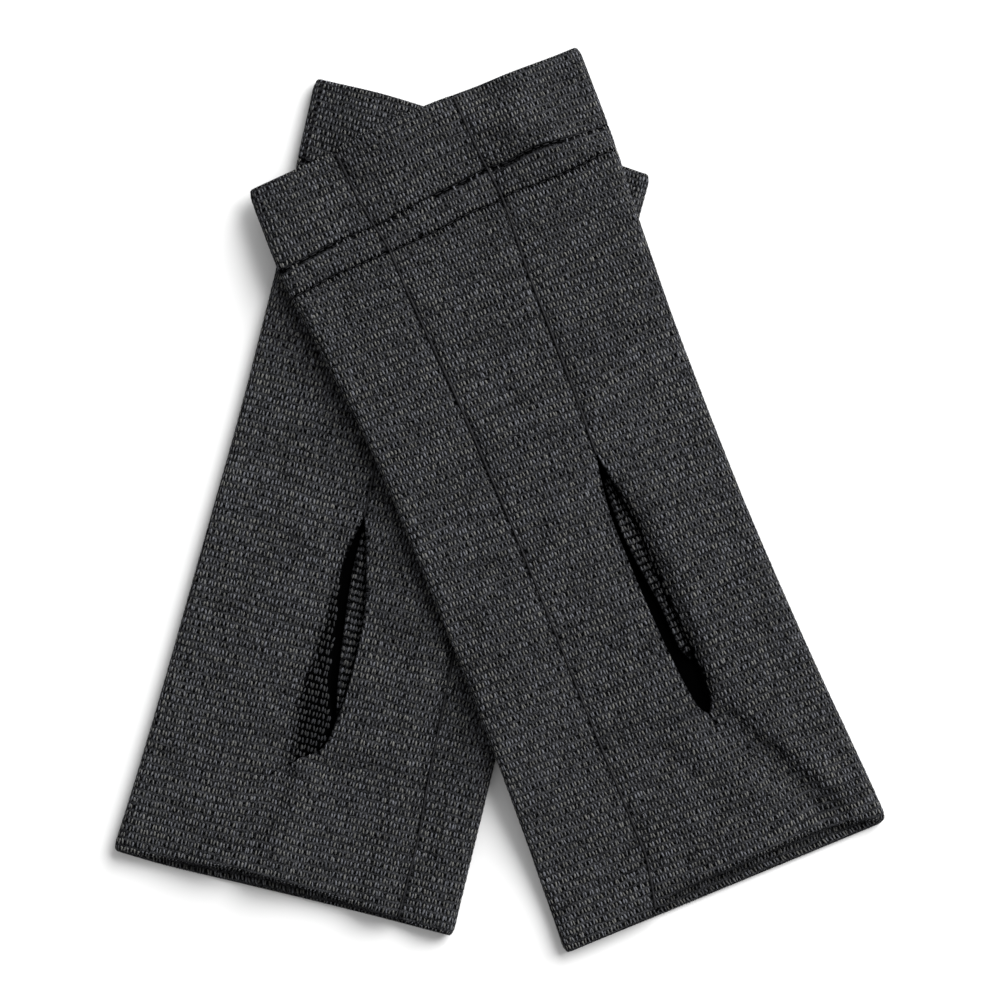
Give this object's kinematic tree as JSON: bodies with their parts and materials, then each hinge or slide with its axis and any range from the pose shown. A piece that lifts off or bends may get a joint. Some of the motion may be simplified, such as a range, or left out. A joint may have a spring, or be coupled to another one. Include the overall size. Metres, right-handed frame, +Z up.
{
  "type": "pair of wrist warmers",
  "caption": "Pair of long doubled-knit wrist warmers with thumb openings and turned cuffs, laid flat and crossed.",
  "frame": {"origin": "middle of the pair's outline, on the surface that it lies on", "axes": "+Z up from the surface, +Y towards the arm ends, +X to the right as seen from above"},
  "size_m": [0.2, 0.2346, 0.0142],
  "materials": {
    "knit": "soft matt marled wool knit",
    "facing": "soft matt wool knit, inner side"
  },
  "bodies": {
    "root": {"top_back_panel": "knit", "top_palm_panel": "knit", "top_cuff_back": "knit", "top_cuff_palm": "knit", "top_thumb_facing": "facing", "under_back_panel": "knit", "under_palm_panel": "knit", "under_cuff_back": "knit", "under_cuff_palm": "knit", "under_thumb_facing": "facing"}
  },
  "joints": []
}
